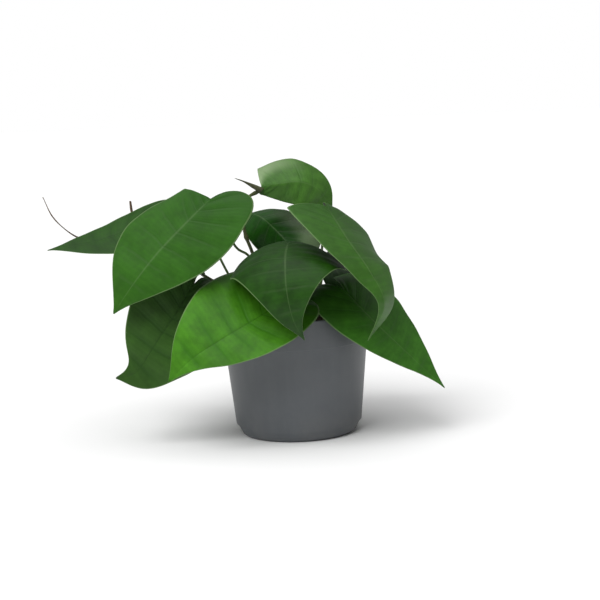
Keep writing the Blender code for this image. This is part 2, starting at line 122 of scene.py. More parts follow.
LEAVES = {
    "top": Leaf(
        midrib=((-22, -4, 199), (-9, -3, 200.5), (9, 0, 201), (24, 7, 193), (34, 12, 174)),
        face=((0.14, -0.55, 0.75), (0.3, -0.7, 0.6)),
        width=((0.25, 1.5), (0.86, 1.65)), fold=((-60, 0), (5, 0)), curl=((-20, -10), (-20, -10)),
        lobe=(120, 130), lobe_length=(0.2, 0.04), root=None, stalk=None, slot=YOUNG,
    ),
    "large_left": Leaf(
        midrib=((-62, -24, 193), (-82, -33, 175), (-104, -42, 154), (-123, -49, 132), (-140, -50, 109)),
        face=((-0.45, -0.74, 0.4), (-0.3, -0.85, 0.4)),
        width=((0.98, 2.0), (0.8, 1.2)), fold=((-16, -4), (-12, -12)), curl=((-15, -10), (-10, -10)),
        lobe=(110, 25), lobe_length=(0.02, 0.95),
        root=(-14, 0), stalk=((-25, -2, 128), (-35, -2, 144), (-45, -3, 152), (-56, -10, 176)), slot=MATURE,
    ),
    "rear_left": Leaf(
        midrib=((-108, 26, 177), (-133, 22, 166), (-159, 16, 159), (-197, 8, 154)),
        face=((-0.1, -0.45, 0.85), (-0.1, -0.5, 0.85)),
        width=((0.62, 0.75), (0.8, 0.8)), fold=((0, 0), (0, 0)), curl=((-10, -10), (-10, -10)),
        lobe=(30, 30), lobe_length=(1, 1), root=None, stalk=None, slot=DARK,
    ),
    "low_left": Leaf(
        midrib=((-79, -28, 126), (-91, -36, 108), (-108, -42, 85), (-126, -44, 61), (-142, -44, 57)),
        face=((0.0, -1.0, 0.1), (-0.1, -0.95, 0.2)),
        width=((0.9, 1.2), (0.75, 2.0)), fold=((5, 0), (5, 0)), curl=((-10, -10), (-10, -10)),
        lobe=(60, 90), lobe_length=(1, 1), root=None, stalk=((-74, -9, 133), (-77, -18, 131)), slot=DARK,
    ),
    "front_left": Leaf(
        midrib=((-5, -52, 116), (-28, -60, 103), (-54, -70, 90), (-79, -76, 76), (-98, -78, 59)),
        face=((-0.32, -0.76, 0.56), (-0.2, -0.9, 0.3)),
        width=((0.95, 1.8), (0.9, 0.8)), fold=((0, 5), (12, 5)), curl=((-5, -5), (5, -5)),
        lobe=(110, 50), lobe_length=(0.8, 0.6), root=(-2, -22), stalk=((2, -34, 106), (0, -46, 114)),
        slot=YOUNG,
    ),
    "front_centre": Leaf(
        midrib=((-3, -43, 158), (-5, -76, 150), (-5, -96, 130), (-1, -100, 107), (7, -96, 90)),
        face=((0.0, -0.1, 1.0), (-0.2, -0.95, 0.2)),
        width=((1.3, 0.85), (1.25, 0.7)), fold=((-3, -5), (-6, -5)), curl=((-38, -10), (-32, -10)),
        lobe=(40, 40), lobe_length=(1, 1),
        root=(2, -8), stalk=((2, -14, 120), (-1, -26, 146), (-3, -37, 155)), slot=MATURE,
    ),
    "upper_centre": Leaf(
        midrib=((-2, 0, 151), (-11, 8, 161), (-23, 16, 172), (-34, 34, 174), (-46, 52, 168)),
        face=((-0.1, -0.4, 0.8), (-0.3, 0.1, 0.9)),
        width=((1.0, 0.9), (0.7, 0.9)), fold=((0, -5), (-50, -10)), curl=((-10, -10), (-30, -10)),
        lobe=(60, 60), lobe_length=(1, 1), root=(4, 6), stalk=((6, 9, 120), (3, 8, 142)), slot=MATURE,
    ),
    "large_right": Leaf(
        midrib=((29, -30, 183), (44, -58, 159), (58.5, -74, 137), (68.5, -79, 112), (55, -82, 85)),
        face=((0.6, -0.65, 0.4), (0.75, -0.5, -0.1)),
        width=((0.72, 0.28), (1.15, 0.95)), fold=((-8, -8), (-10, -8)), curl=((-10, -10), (-15, -10)),
        lobe=(60, 60), lobe_length=(0.2, 1),
        root=(16, -4), stalk=((22, 0, 130), (26, -8, 164), (28, -22, 180)), slot=MATURE,
    ),
    "low_right": Leaf(
        midrib=((40, -36, 118), (57, -46, 99), (75, -48, 80), (95, -44, 59), (116, -38, 37)),
        face=((0.5, -0.6, 0.55), (0.4, -0.64, 0.5)),
        width=((0.78, 0.4), (0.95, 1.15)), fold=((-5, 0), (-5, 0)), curl=((-10, -10), (-10, -10)),
        lobe=(60, 60), lobe_length=(1, 1), root=(24, -14), stalk=((32, -22, 108), (38, -32, 116)),
        slot=MATURE,
    ),
    "back_right": Leaf(
        midrib=((24, 22, 130), (36, 44, 142), (47, 64, 132), (53, 78, 107), (54, 86, 80)),
        face=((0.0, 0.1, 1.0), (0.3, 0.9, 0.3)),
        width=((0.75, 0.9), (0.55, 1.0)), fold=((-12, -5), (-20, -10)), curl=((-30, -10), (-50, -20)),
        lobe=(60, 60), lobe_length=(0.9, 0.9), root=(16, 16), stalk=((20, 17, 106), (23, 19, 118)), slot=DARK,
    ),
    "back_centre": Leaf(
        midrib=((-12, 30, 120), (-17, 54, 130), (-21, 78, 114), (-23, 92, 85), (-23, 99, 60)),
        face=((0.0, 0.1, 1.0), (-0.1, 0.9, 0.3)),
        width=((0.62, 0.9), (0.62, 0.9)), fold=((-10, -5), (-10, -5)), curl=((-20, -10), (-20, -10)),
        lobe=(20, 20), lobe_length=(0.9, 0.9), root=(-8, 18), stalk=((-10, 22, 106),), slot=MATURE,
    ),
    "back_left": Leaf(
        midrib=((-70, 44, 162), (-82, 58, 172), (-98, 76, 167), (-110, 90, 150), (-118, 98, 128)),
        face=((0.0, 0.1, 1.0), (-0.5, 0.7, 0.4)),
        width=((0.65, 0.9), (0.65, 0.9)), fold=((-10, -5), (-10, -5)), curl=((-20, -10), (-20, -10)),
        lobe=(50, 50), lobe_length=(0.9, 0.9), root=(-28, 14), stalk=((-48, 20, 118), (-64, 34, 148)),
        slot=DARK,
    ),
}

# Vines leave the soil at root and end at the joint of the leaf that they carry. Millimetres.
Vine = namedtuple("Vine", "root points")
VINES = {
    "top": Vine((-12, 8), ((-24, 8, 116), (-32, 2, 146), (-37, 0, 162), (-38, 0, 178), (-34, -1, 190))),
    "rear_left": Vine(
        (-20, 8), ((-36, 4, 108), (-66, -4, 126), (-78, -2, 136), (-92, 10, 152), (-104, 22, 168))
    ),
}
AERIAL_ROOT = (
    (-107, 21, 165), (-125, 28, 159), (-150, 30, 156), (-168, 28, 159),
    (-180, 25, 165), (-193, 22, 179), (-200, 20, 196),
)
AERIAL_ROOT_RADIUS = 0.7 * MM
OLD_VINE_END = ((-110, 31, 165), (-121, 44, 166), (-131, 53, 175), (-133, 54, 187))
OLD_VINE_RADIUS = 1.2 * MM
SHEATH = ((-29, -5, 200), (-36, -7, 204), (-43, -8, 207))
SHEATH_RADIUS = 1.8 * MM

# Fine mesh of a blade. Its columns crowd towards the midrib, and its margin is thinner than its middle.
ROWS = 96
COLUMNS = 26
CROWDING = 1.35
HALF_THICKNESS = 0.3 * MM
MARGIN_SHARE = 0.45
MARGIN_BULGE = 0.8
SEED_START = 0.13
SEED_STEP = 0.29
SEED_OF_OTHER_HALF = 0.37
SIDE_VEINS = (0.07, 0.15, 0.245, 0.35, 0.465, 0.585, 0.71, 0.84)
VEIN_BANDS = len(SIDE_VEINS) + 1
RIB_WIDTH = 0.75 * MM
RIB_HEIGHT = 0.9 * MM
GROOVE_DEPTH = 0.35 * MM
TIP_FADE = 0.7
QUILT_LEVEL = 0.6
LONG_WAVES = 3.1
SHORT_WAVES = 6.7
SHORT_WAVE_SHARE = 0.6
UV_SCALE = 10

# Look of a blade. tone is its green and spread how far it varies. The third entry is painted shade: how far
# the strip beside each side vein is darkened as if shaded in its groove. line shows the midrib and the thin
# side veins, pale above 0 and dark below. quilt is how far the blade swells between veins and wave how far
# its margin undulates, in millimetres. roughness is that of its skin, and the last entry is a painted sheen:
# how far its left and right half are paled as if catching the light.
NO_PAINTED_SHEEN = (0, 0)
Look = namedtuple("Look", "tone spread strip line quilt wave roughness bloom", defaults=(NO_PAINTED_SHEEN,))
LOOKS = {
    "top": Look((0.055, 0.155, 0.020), 0.3, 0.3, 0.2, 0.4, 0.3, 0.40, (0, 0.55)),
    "large_left": Look((0.026, 0.104, 0.0065), 0.22, 0.35, 0.22, 0.55, 0.7, 0.46),
    "rear_left": Look((0.017, 0.066, 0.005), 0.25, 0.4, -0.3, 0.4, 0.4, 0.5),
    "low_left": Look((0.028, 0.080, 0.010), 0.22, 0.45, -0.3, 0.9, 0.7, 0.55),
    "front_left": Look((0.050, 0.185, 0.008), 0.3, 0.5, -0.22, 1.1, 0.5, 0.44),
    "front_centre": Look((0.012, 0.052, 0.003), 0.4, 0.3, 0.22, 0.5, 0.4, 0.5),
    "upper_centre": Look((0.009, 0.055, 0.003), 0.35, 0.5, 0.3, 0.6, 0.4, 0.4, (0.4, 0)),
    "large_right": Look((0.038, 0.120, 0.013), 0.25, 0.3, 0.35, 0.5, 0.3, 0.44),
    "low_right": Look((0.034, 0.130, 0.010), 0.28, 0.45, 0.2, 0.6, 0.5, 0.46),
    # Painted shade: the two back leaves below are painted darker than the rest, for the deep shade of the
    # hollow they are seen in.
    "back_right": Look((0.008, 0.028, 0.004), 0.25, 0.4, 0.3, 0.5, 0.6, 0.46),
    "back_centre": Look((0.014, 0.055, 0.005), 0.25, 0.4, 0.3, 0.5, 0.6, 0.46),
    "back_left": Look((0.022, 0.085, 0.008), 0.25, 0.4, 0.3, 0.5, 0.6, 0.46),
}
# Darker green for the fine veins, also used as painted shade in the strips beside side veins and towards the
# base.
VEIN_AND_SHADE_TINT = (0.45, 0.62, 0.4)
PALE_LINE = (0.13, 0.21, 0.085)
DARK_LINE = (0.006, 0.03, 0.002)
# Painted highlight: the pale line along a blade's margin, standing for the light that its edge catches.
PAINTED_EDGE_HIGHLIGHT = (0.13, 0.22, 0.08)
# Painted sheen: a pale green mixed into one half of some blades, standing in for the light that half catches.
PAINTED_SHEEN_GREEN = (0.32, 0.42, 0.24)
EDGE_HIGHLIGHT_SHARE = 0.85
VEIN_LINE = 0.3
FINE_VEINS = 5.0
# Painted shade: how far a blade is darkened towards its base, where the leaves shade one another.
PAINTED_BASE_SHADE = 0.55
UNDERSIDE = (0.075, 0.14, 0.045)
UNDERSIDE_SHARE = 0.4
UNDERSIDE_DULLNESS = 0.14
LEAF_SPECULAR = 0.25

# Colours of the other pieces, which a pattern mixes.
PEAT_DARK = (0.012, 0.008, 0.005)
PEAT_LIGHT = (0.045, 0.028, 0.018)
PEAT_FIBRE = (0.07, 0.046, 0.03)
POT_DARK = (0.078, 0.086, 0.094)
POT_LIGHT = (0.092, 0.10, 0.108)
POT_STREAK = (0.11, 0.118, 0.125)
POT_DUST = (0.16, 0.15, 0.135)
FLOOR_DARK = (0.9, 0.9, 0.9)
FLOOR_LIGHT = (0.93, 0.93, 0.93)
StemLook = namedtuple("StemLook", "low high streak roughness")
STEM_LOOKS = {
    "stalk_green": StemLook((0.05, 0.10, 0.02), (0.09, 0.16, 0.035), (0.10, 0.09, 0.04), 0.45),
    "vine_green": StemLook((0.06, 0.085, 0.025), (0.10, 0.12, 0.04), (0.09, 0.06, 0.035), 0.5),
    "dry_brown": StemLook((0.07, 0.045, 0.028), (0.14, 0.095, 0.06), (0.20, 0.15, 0.10), 0.85),
    "sheath_olive": StemLook((0.045, 0.055, 0.02), (0.075, 0.085, 0.035), (0.06, 0.035, 0.025), 0.6),
}

# Stems. The low left leaf's stalk leaves the vine at the fork.
STEM_RINGS = 90
STEM_SIDES = 16
FIRST_SIDE = (0.3, 1, 0.1)
SOIL_DEPTH = 4 * MM
ROOTED_DEPTH = (0, 0, 3 * MM)
JOINT_REACH = 0.8 * MM
VINE_NODES = (0.3, 0.62, 0.93)
VINE_FORK = np.array((-72, -3, 131)) * MM

# Camera.
AIM = Vector((0.0048, 0, 0.106))
CAMERA_DISTANCE = 1.3
CAMERA_ELEVATION = math.radians(8.7)
CAMERA_ROLL = math.radians(-2.4)
CAMERA_LENS = 96.7
SENSOR_WIDTH = 36

# Studio.
ROOM_LIGHT = 0.25
KEY_DIRECTION = (0.5, 0.6, -0.9)
KEY_STRENGTH = 2.1
KEY_SOFTNESS = 40
TOP_DIRECTION = (0.05, 0.1, -1)
TOP_STRENGTH = 1.4
TOP_SOFTNESS = 70
FLOOR_REACH = 6
FLOOR_DROP = 0.2 * MM


def through(points, fractions):
    """A smooth curve through the points, read at fractions of its chord length (Catmull-Rom)."""
    points = np.asarray(points, float)
    steps = np.linalg.norm(np.diff(points, axis=0), axis=1)
    chord = np.concatenate([[0], np.cumsum(steps)])
    padded = np.vstack([2 * points[0] - points[1], points, 2 * points[-1] - points[-2]])
    place = np.asarray(fractions) * chord[-1]
    span = np.clip(np.searchsorted(chord, place, side="right") - 1, 0, len(points) - 2)
    part = ((place - chord[span]) / steps[span])[:, None]
    before, start, end, after = (padded[span + k] for k in range(4))
    square = (2 * before - 5 * start + 4 * end - after) * part**2
    cube = (3 * start - before - 3 * end + after) * part**3
    return 0.5 * (2 * start + (end - before) * part + square + cube)


def unit(vectors):
    return vectors / np.linalg.norm(vectors, axis=-1, keepdims=True)


def read_curve(curve, arc, place):
    return np.stack([np.interp(place, arc, curve[:, axis]) for axis in range(3)], axis=-1)


def midrib_curve(leaf):
    """(points, arc length at each, direction at each) of the leaf's midrib."""
    curve = through(np.array(leaf.midrib) * MM, np.linspace(0, 1, MIDRIB_POINTS))
    arc = np.concatenate([[0], np.cumsum(np.linalg.norm(np.diff(curve, axis=0), axis=1))])
    reach = FRAME_REACH * arc[-1]
    ahead = read_curve(curve, arc, np.minimum(arc + reach, arc[-1]))
    behind = read_curve(curve, arc, np.maximum(arc - reach, 0))
    return curve, arc, unit(ahead - behind)


def half_outline(leaf, side, vein, out):
    """(x, y) of half a flat blade, as fractions of its length.

    vein runs from base to tip, and out from midrib to margin.
    """
    margin = through(HALF_HEART, vein)
    margin_x = np.where(margin[:, :1] < 0, margin[:, :1] * leaf.lobe_length[side], margin[:, :1])
    x = (vein**VEIN_SWEEP)[:, None] * (1 - out) + margin_x * out
    base_width, tip_width = leaf.width[side]
    return x, margin[:, 1:] * out * (base_width + (tip_width - base_width) * np.clip(x, 0, 1))


def half_blade(leaf, side, vein, out):
    """(points, normals) of one half of the blade's middle surface."""
    curve, arc, direction = midrib_curve(leaf)
    length = arc[-1]
    x, y = half_outline(leaf, side, vein, out)
    along = np.clip(x, 0, 1)
    centre = read_curve(curve, arc, along * length)
    forward = unit(read_curve(direction, arc, along * length))
    face_base, face_tip = np.array(leaf.face)
    face = face_base + (face_tip - face_base) * along[..., None]
    up = unit(face - (face * forward).sum(-1, keepdims=True) * forward)
    across = np.cross(forward, up) * (1 if side == 0 else -1)

    # Behind the joint the lobes arch back and down along a circle.
    lobe_radius = LOBE_DEPTH * length / math.radians(leaf.lobe[side])
    back = (-np.minimum(x, 0) * length / lobe_radius)[..., None]
    centre = centre - (forward * np.sin(back) + up * (1 - np.cos(back))) * lobe_radius
    normal = up * np.cos(back) - forward * np.sin(back)

    # Across the half, the slope starts at the fold and grows by the curl.
    fold_base, fold_tip = np.radians(leaf.fold[side])
    curl_base, curl_tip = np.radians(leaf.curl[side])
    fold = fold_base + (fold_tip - fold_base) * along
    curl = curl_base + (curl_tip - curl_base) * along
    rate = np.where(abs(curl) < LEAST_CURL, LEAST_CURL, curl) / (HALF_WIDTH * length)
    slope = fold + rate * y * length
    sideways = (np.sin(slope) - np.sin(fold)) / rate
    lift = (np.cos(fold) - np.cos(slope)) / rate
    points = centre + across * sideways[..., None] + up * lift[..., None]
    return points, normal * np.cos(slope)[..., None] - across * np.sin(slope)[..., None]


def halves_joined(left, right):
    """One array across the whole blade from those of its halves, each from midrib to margin."""
    return np.concatenate([left[:, ::-1], right[:, 1:]], axis=1)


def blade_grid(leaf, vein, out):
    """(points, normals) of the whole middle surface, from the left margin to the right margin."""
    left, left_normals = half_blade(leaf, 0, vein, out)
    right, right_normals = half_blade(leaf, 1, vein, out)
    left_normals[:, 0] = unit(left_normals[:, 0] + right_normals[:, 0])
    return halves_joined(left, right), halves_joined(left_normals, right_normals)


def wall_profile():
    """The pot's outer surface from the skirt to the rim, as (radius, height)."""
    return (
        (SKIRT_BOTTOM_RADIUS, 0),
        SKIRT_BULGE,
        (SKIRT_TOP_RADIUS, SKIRT_HEIGHT),
        (RIM_RADIUS - COLLAR_DRAFT - COLLAR_STEP, COLLAR_BOTTOM),
        (RIM_RADIUS - COLLAR_DRAFT, COLLAR_BOTTOM),
        (RIM_RADIUS, POT_HEIGHT - RIM_EDGE[1]),
        (RIM_RADIUS - RIM_EDGE[0], POT_HEIGHT),
    )


def inside_profile(clearance):
    """The pot's inner surface from below the rim to the base plate, moved inwards by a clearance."""
    floor = SKIRT_HEIGHT + WALL + clearance
    collar = RIM_RADIUS - COLLAR_DRAFT - WALL - clearance
    skirt = SKIRT_TOP_RADIUS - WALL - clearance
    return (
        (collar, COLLAR_BOTTOM + COLLAR_BEND),
        (collar - COLLAR_STEP, COLLAR_BOTTOM - COLLAR_BEND),
        (skirt, floor + INNER_CORNER),
        (skirt - INNER_CORNER, floor),
        (GROOVE_RADIUS - WALL - clearance, floor),
        (BASE_PLATE_RADIUS - WALL - clearance, WALL + clearance),
        (0, WALL + clearance),
    )


def underside_profile():
    """The flat base plate and the groove between it and the skirt."""
    return (
        (0, 0),
        (BASE_PLATE_RADIUS, 0),
        (GROOVE_RADIUS, SKIRT_HEIGHT),
        (SKIRT_TOP_RADIUS - 2 * WALL, SKIRT_HEIGHT),
        (SKIRT_BOTTOM_RADIUS - WALL, 0),
    )


# ---- Node materials ----

# A mix node lists the sockets of every data type. These are the share, the two colours and the mixed colour.
MIX_INPUTS = (0, 6, 7)
MIX_OUTPUT = 2


class Nodes:
    """Adds shader nodes to a new material and links them."""

    def __init__(self, name):
        self.material = bpy.data.materials.new(name)
        self.material.use_nodes = True
        self.tree = self.material.node_tree
        self.shader = self.tree.nodes["Principled BSDF"]

    def put(self, socket, value):
        if isinstance(value, bpy.types.NodeSocket):
            self.tree.links.new(value, socket)
        elif isinstance(value, tuple) and len(value) == 3 and socket.type == "RGBA":
            socket.default_value = (*value, 1)
        else:
            socket.default_value = value

    def add(self, kind, output=0, **inputs):
        node = self.tree.nodes.new(kind)
        for key, value in inputs.items():
            self.put(node.inputs[key], value)
        return node.outputs[output]

    def math(self, operation, a, b=0.0):
        node = self.tree.nodes.new("ShaderNodeMath")
        node.operation = operation
        for socket, value in zip(node.inputs, (a, b)):
            self.put(socket, value)
        return node.outputs[0]

    def plus(self, a, b):
        return self.math("ADD", a, b)

    def times(self, a, b):
        return self.math("MULTIPLY", a, b)

    def ramp(self, value, low, high, start=0.0, end=1.0):
        """Goes smoothly from start to end while value goes from low to high."""
        node = self.tree.nodes.new("ShaderNodeMapRange")
        node.interpolation_type = "SMOOTHSTEP"
        for socket, number in zip(node.inputs, (value, low, high, start, end)):
            self.put(socket, number)
        return node.outputs[0]

    def mix(self, share, a, b):
        node = self.tree.nodes.new("ShaderNodeMix")
        node.data_type = "RGBA"
        for key, value in zip(MIX_INPUTS, (share, a, b)):
            self.put(node.inputs[key], value)
        return node.outputs[MIX_OUTPUT]

    def noise(self, vector, scale, detail=3.0, roughness=0.55):
        return self.add("ShaderNodeTexNoise", Vector=vector, Scale=scale, Detail=detail, Roughness=roughness)

    def uv(self, name):
        socket = self.add("ShaderNodeUVMap")
        socket.node.uv_map = name
        return socket

    def place(self):
        return self.add("ShaderNodeTexCoord", output="Object")

    def stretched(self, vector, scale):
        return self.add("ShaderNodeMapping", Vector=vector, Scale=scale)

    def split(self, vector):
        """The three parts of a vector."""
        node = self.tree.nodes.new("ShaderNodeSeparateXYZ")
        self.put(node.inputs[0], vector)
        return node.outputs

    def bump(self, height, distance, strength=1.0):
        node = self.tree.nodes.new("ShaderNodeBump")
        self.put(node.inputs["Strength"], strength)
        self.put(node.inputs["Distance"], distance)
        self.put(node.inputs["Height"], height)
        return node.outputs[0]

    def finish(self, colour, roughness, normal, specular=0.5):
        self.put(self.shader.inputs["Base Color"], colour)
        self.put(self.shader.inputs["Roughness"], roughness)
        self.put(self.shader.inputs["Normal"], normal)
        self.shader.inputs["Specular IOR Level"].default_value = specular
        return self.material


def blade_material(name, look, underside):
    """Leaf skin.

    UV map "veins" holds the place across the blade and between side veins, and "flat" the flattened blade.
    """
    n = Nodes(name)
    flat = n.uv("flat")
    across, along, _ = n.split(n.uv("veins"))
    out = n.times(n.math("ABSOLUTE", n.math("SUBTRACT", across, 0.5)), 2.0)

    broad = n.noise(flat, 2.2, 2.0)
    mottle = n.noise(flat, 14.0, 4.0, 0.6)
    grain = n.noise(flat, 160.0, 2.0, 0.6)
    wander = n.times(n.math("SUBTRACT", n.noise(flat, 7.0, 2.0), 0.5), 0.12)
    band = n.plus(n.times(along, float(VEIN_BANDS)), wander)

    # Side veins and the finer ones between them fade towards the margin.
    from_vein = n.math("PINGPONG", band, 0.5)
    fade = n.ramp(out, 0.45, 0.95, 1.0, 0.0)
    strip = n.times(n.ramp(from_vein, 0.0, 0.3, 1.0, 0.0), fade)
    vein_line = n.times(n.ramp(from_vein, 0.015, 0.09, 1.0, 0.0), fade)
    fine = n.times(n.ramp(n.math("PINGPONG", n.times(band, FINE_VEINS), 0.5), 0.0, 0.5, 1.0, 0.0), 0.3)
    rib = n.ramp(out, 0.008, 0.024, 1.0, 0.0)
    margin = n.ramp(out, 0.965, 0.985)

    tone = np.array(look.tone)
    vein_and_shade_green = tuple(tone * VEIN_AND_SHADE_TINT)
    patches = n.plus(n.times(broad, 0.6), n.times(mottle, 0.5))
    darkest = tuple(tone * (1 - look.spread))
    lightest = tuple(tone * (1 + look.spread))
    colour = n.mix(n.ramp(patches, 0.35, 0.75), darkest, lightest)
    # The fine veins are darkened a little towards this green. Painted shade: the strip beside each side vein
    # is darkened as if shaded in its groove.
    colour = n.mix(n.times(fine, 0.5), colour, vein_and_shade_green)
    colour = n.mix(n.times(strip, look.strip), colour, vein_and_shade_green)
    # Painted shade: the blade darkens towards its base, where the leaves above shade it.
    colour = n.mix(n.ramp(band, 0.5, 6.5, PAINTED_BASE_SHADE, 0.0), colour, vein_and_shade_green)
    # Painted sheen: one half is paled from the midrib outwards, near the base, as if it caught the light.
    for half, bloom in zip(("LESS_THAN", "GREATER_THAN"), look.bloom):
        if bloom:
            reach = n.plus(out, n.times(n.math("SUBTRACT", broad, 0.5), 0.6))
            sheen_place = n.times(n.math(half, across, 0.5), n.ramp(band, 4.0, 7.0, 1.0, 0.0))
            colour = n.mix(n.times(n.ramp(reach, 0.25, 0.8, 0.0, bloom), sheen_place), colour, PAINTED_SHEEN_GREEN)
    lines = n.times(n.math("MAXIMUM", rib, n.times(vein_line, VEIN_LINE)), abs(look.line))
    colour = n.mix(lines, colour, PALE_LINE if look.line > 0 else DARK_LINE)
    # Painted highlight: a thin pale line along the margin, as if the edge caught the light.
    colour = n.mix(n.times(margin, EDGE_HIGHLIGHT_SHARE), colour, PAINTED_EDGE_HIGHLIGHT)
    if underside:
        colour = n.mix(UNDERSIDE_SHARE, colour, UNDERSIDE)

    height = n.plus(n.times(fine, -0.4), n.times(vein_line, -0.6))
    height = n.plus(height, n.plus(n.times(mottle, 0.5), n.times(grain, 0.12)))
    dullness = UNDERSIDE_DULLNESS if underside else 0
    roughness = n.plus(n.times(mottle, 0.16), look.roughness - 0.08 + dullness)
    return n.finish(colour, roughness, n.bump(height, 0.3 * MM, 0.5), specular=LEAF_SPECULAR)


def stem_material(name):
    """Smooth skin with fine streaks along the stem and a warm tint here and there."""
    look = STEM_LOOKS[name]
    n = Nodes(name)
    streaks = n.noise(n.stretched(n.uv("flat"), (6, 1.5, 1)), 3.0, 4.0)
    patches = n.noise(n.place(), 90.0)
    colour = n.mix(n.ramp(patches, 0.35, 0.7), look.low, look.high)
    colour = n.mix(n.times(n.ramp(streaks, 0.45, 0.75), 0.6), colour, look.streak)
    normal = n.bump(n.plus(streaks, n.times(patches, 0.4)), 0.2 * MM, 0.6)
    return n.finish(colour, n.plus(n.times(patches, 0.2), look.roughness - 0.1), normal)


def pot_material():
    """Grey moulded plastic with a fine grain, faint flow streaks and a little dust towards the foot."""
    n = Nodes("pot_plastic")
    place = n.place()
    grain = n.noise(place, 1900.0, 2.0, 0.6)
    cloud = n.noise(place, 24.0, 4.0, 0.6)
    flow = n.noise(n.stretched(place, (1, 1, 0.07)), 160.0, 3.0, 0.6)
    dust = n.times(n.ramp(n.split(place)[2], 2 * MM, 30 * MM, 1.0, 0.0), n.ramp(cloud, 0.4, 0.7))
    colour = n.mix(n.ramp(cloud, 0.3, 0.7), POT_DARK, POT_LIGHT)
    colour = n.mix(n.times(n.ramp(flow, 0.4, 0.8), 0.25), colour, POT_STREAK)
    colour = n.mix(n.times(dust, 0.25), colour, POT_DUST)
    normal = n.bump(n.plus(n.times(grain, 0.6), n.times(flow, 0.5)), 0.06 * MM, 0.7)
    roughness = n.plus(n.times(cloud, 0.14), n.plus(n.times(grain, 0.06), 0.36))
    return n.finish(colour, roughness, normal)


def soil_material():
    """Dark crumbly peat with paler fibrous patches."""
    n = Nodes("peat")
    crumbs = n.noise(n.place(), 520.0, 4.0, 0.7)
    patches = n.noise(n.place(), 70.0, 4.0, 0.6)
    colour = n.mix(n.ramp(crumbs, 0.35, 0.7), PEAT_DARK, PEAT_LIGHT)
    colour = n.mix(n.times(n.ramp(patches, 0.5, 0.75), 0.5), colour, PEAT_FIBRE)
    return n.finish(colour, 0.95, n.bump(crumbs, 1.0 * MM, 0.9), specular=0.2)


# ---- Pieces ----


def new_piece(name, mesh, materials, node):
    """A piece of the plant that stands for one CAD node."""
    for material in materials:
        mesh.materials.append(material)
    piece = bpy.data.objects.new(name, mesh)
    bpy.context.scene.collection.objects.link(piece)
    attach(piece, "root")
    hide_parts(node)


def add_uv(mesh, name, per_vertex):
    layer = mesh.uv_layers.new(name=name)
    corners = np.empty(len(mesh.loops), np.int32)
    mesh.loops.foreach_get("vertex_index", corners)
    layer.data.foreach_set("uv", per_vertex[corners].astype(np.float32).ravel())


def face_outwards(mesh):
    build = bmesh.new()
    build.from_mesh(mesh)
    bmesh.ops.recalc_face_normals(build, faces=build.faces)
    build.to_mesh(mesh)
    build.free()


def band_place(vein):
    """How many side veins lie before each place along the midrib, with the part of the way to the next."""
    return np.interp(vein, (0, *SIDE_VEINS, 1), range(VEIN_BANDS + 1))


def relief(look, vein, out, seed):
    """Height of one half over the CAD blade's middle: swollen between side veins, wavy at the margin."""
    band = band_place(vein)[:, None]
    between = np.sin(np.pi * band) ** 2
    reach = np.clip(out, 0, 1) ** 0.7 * (1 - out) ** 0.5 * 1.5
    quilt = (between - QUILT_LEVEL) * reach * look.quilt
    waves = np.sin(math.tau * (vein * LONG_WAVES + seed))
    waves = waves + SHORT_WAVE_SHARE * np.sin(math.tau * (vein * SHORT_WAVES + 2.3 * seed))
    ends = np.sin(np.pi * np.clip(vein, 0, 1)) ** 0.7
    return (quilt + (waves * ends)[:, None] * out**3 * look.wave * 0.6) * MM


def blade_rim(upper, lower, middle, thickness):
    """(grid index of each margin point, the point that rounds the margin there), once round the blade."""
    corner = np.arange(middle.shape[0] * middle.shape[1]).reshape(middle.shape[:2])
    edge = np.concatenate([corner[0], corner[1:, -1], corner[-1, -2::-1], corner[-2:0:-1, 0]])
    inner = np.concatenate([corner[1], corner[1:, -2], corner[-2, -2::-1], corner[-2:0:-1, 1]])
    centre = ((upper + lower) / 2).reshape(-1, 3)[edge]
    outward = unit(centre - middle.reshape(-1, 3)[inner])
    return edge, centre + outward * (thickness.reshape(-1)[edge] * MARGIN_BULGE)[:, None]


def blade_faces(rows, columns, edge):
    """(faces of the upper side, faces of the underside) over the upper grid, the lower grid and the rim."""
    count = rows * columns
    corner = np.arange(count).reshape(rows, columns)
    corners = (corner[:-1, :-1], corner[:-1, 1:], corner[1:, 1:], corner[1:, :-1])
    top = np.stack(corners, axis=-1).reshape(-1, 4)
    rim = 2 * count + np.arange(len(edge))
    next_rim = np.roll(rim, -1)
    next_edge = np.roll(edge, -1)
    upper_rim = np.stack([edge, rim, next_rim, next_edge], axis=-1)
    lower_rim = np.stack([rim, edge + count, next_edge + count, next_rim], axis=-1)
    return np.concatenate([top, upper_rim]), np.concatenate([top[:, ::-1] + count, lower_rim])


